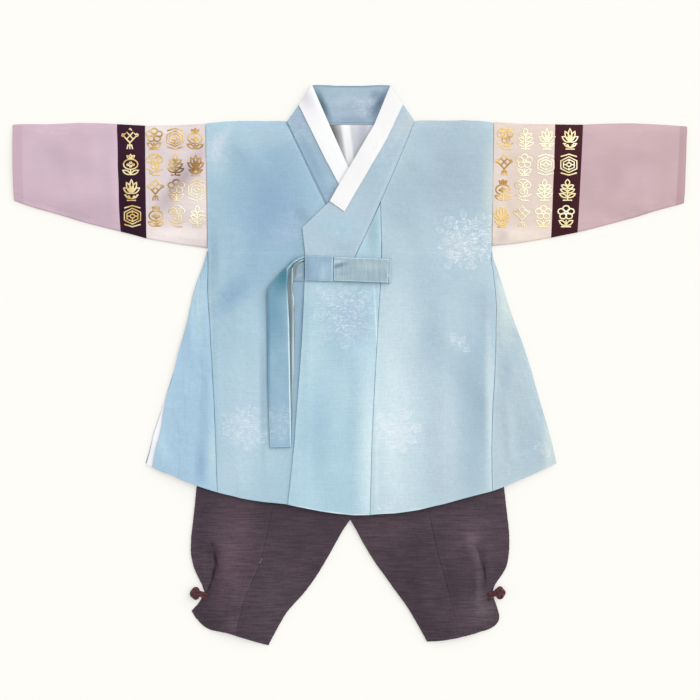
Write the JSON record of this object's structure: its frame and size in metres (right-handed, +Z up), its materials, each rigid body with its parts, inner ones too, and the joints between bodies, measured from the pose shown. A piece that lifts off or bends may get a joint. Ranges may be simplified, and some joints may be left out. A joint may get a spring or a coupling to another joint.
{
  "type": "child hanbok set (jacket and trousers)",
  "caption": "Small child's hanbok laid flat: a crossed blue jacket with a tied bow, a white collar strip and banded sleeves, over dark slubbed trousers with knotted ankle buttons.",
  "frame": {"origin": "middle of the laid set's outline, on the surface it lies on", "axes": "+X across the sleeves, towards the wearer's left; +Y towards the collar; +Z up from the surface"},
  "size_m": [0.709, 0.5868, 0.0136],
  "materials": {
    "blue_silk": "silky satin sheen with tone-on-tone jacquard",
    "lining": "smooth pale lining",
    "white_strip": "plain white, paper-stiffened",
    "blush_silk": "soft silk with gold-leaf ornament",
    "wine_band": "dark silk with gold-leaf ornament",
    "mauve_silk": "soft silk",
    "blue_tie": "silky satin sheen",
    "plum_slub": "matt slubbed weave",
    "wine_cord": "silky braided cord"
  },
  "bodies": {
    "root": {"back_right": "blue_silk", "back_left": "blue_silk", "back_gore_right": "blue_silk", "back_gore_left": "blue_silk", "back_lining": "lining", "gore_lining_right": "lining", "front_right": "blue_silk", "front_left": "blue_silk", "front_gore_right": "blue_silk", "front_gore_left": "blue_silk", "gusset_right": "blue_silk", "gusset_left": "blue_silk", "collar_right": "blue_silk", "collar_left": "blue_silk", "collar_back": "blue_silk", "collar_strip_right": "white_strip", "collar_strip_left": "white_strip", "collar_strip_back": "white_strip", "sleeve_blush_right": "blush_silk", "sleeve_blush_left": "blush_silk", "sleeve_band_right": "wine_band", "sleeve_band_left": "wine_band", "sleeve_end_right": "mauve_silk", "sleeve_end_left": "mauve_silk", "tie_knot": "blue_tie", "tie_loop": "blue_tie", "tie_stub": "blue_tie", "tie_tail_front": "blue_tie", "tie_tail_back": "blue_tie", "waistband": "plum_slub", "leg_side_right": "plum_slub", "leg_side_left": "plum_slub", "leg_front_right": "plum_slub", "leg_front_left": "plum_slub", "leg_back_right": "plum_slub", "leg_back_left": "plum_slub", "ankle_button_right": "wine_cord", "ankle_button_left": "wine_cord", "ankle_loop_right": "wine_cord", "ankle_loop_left": "wine_cord"}
  },
  "joints": []
}
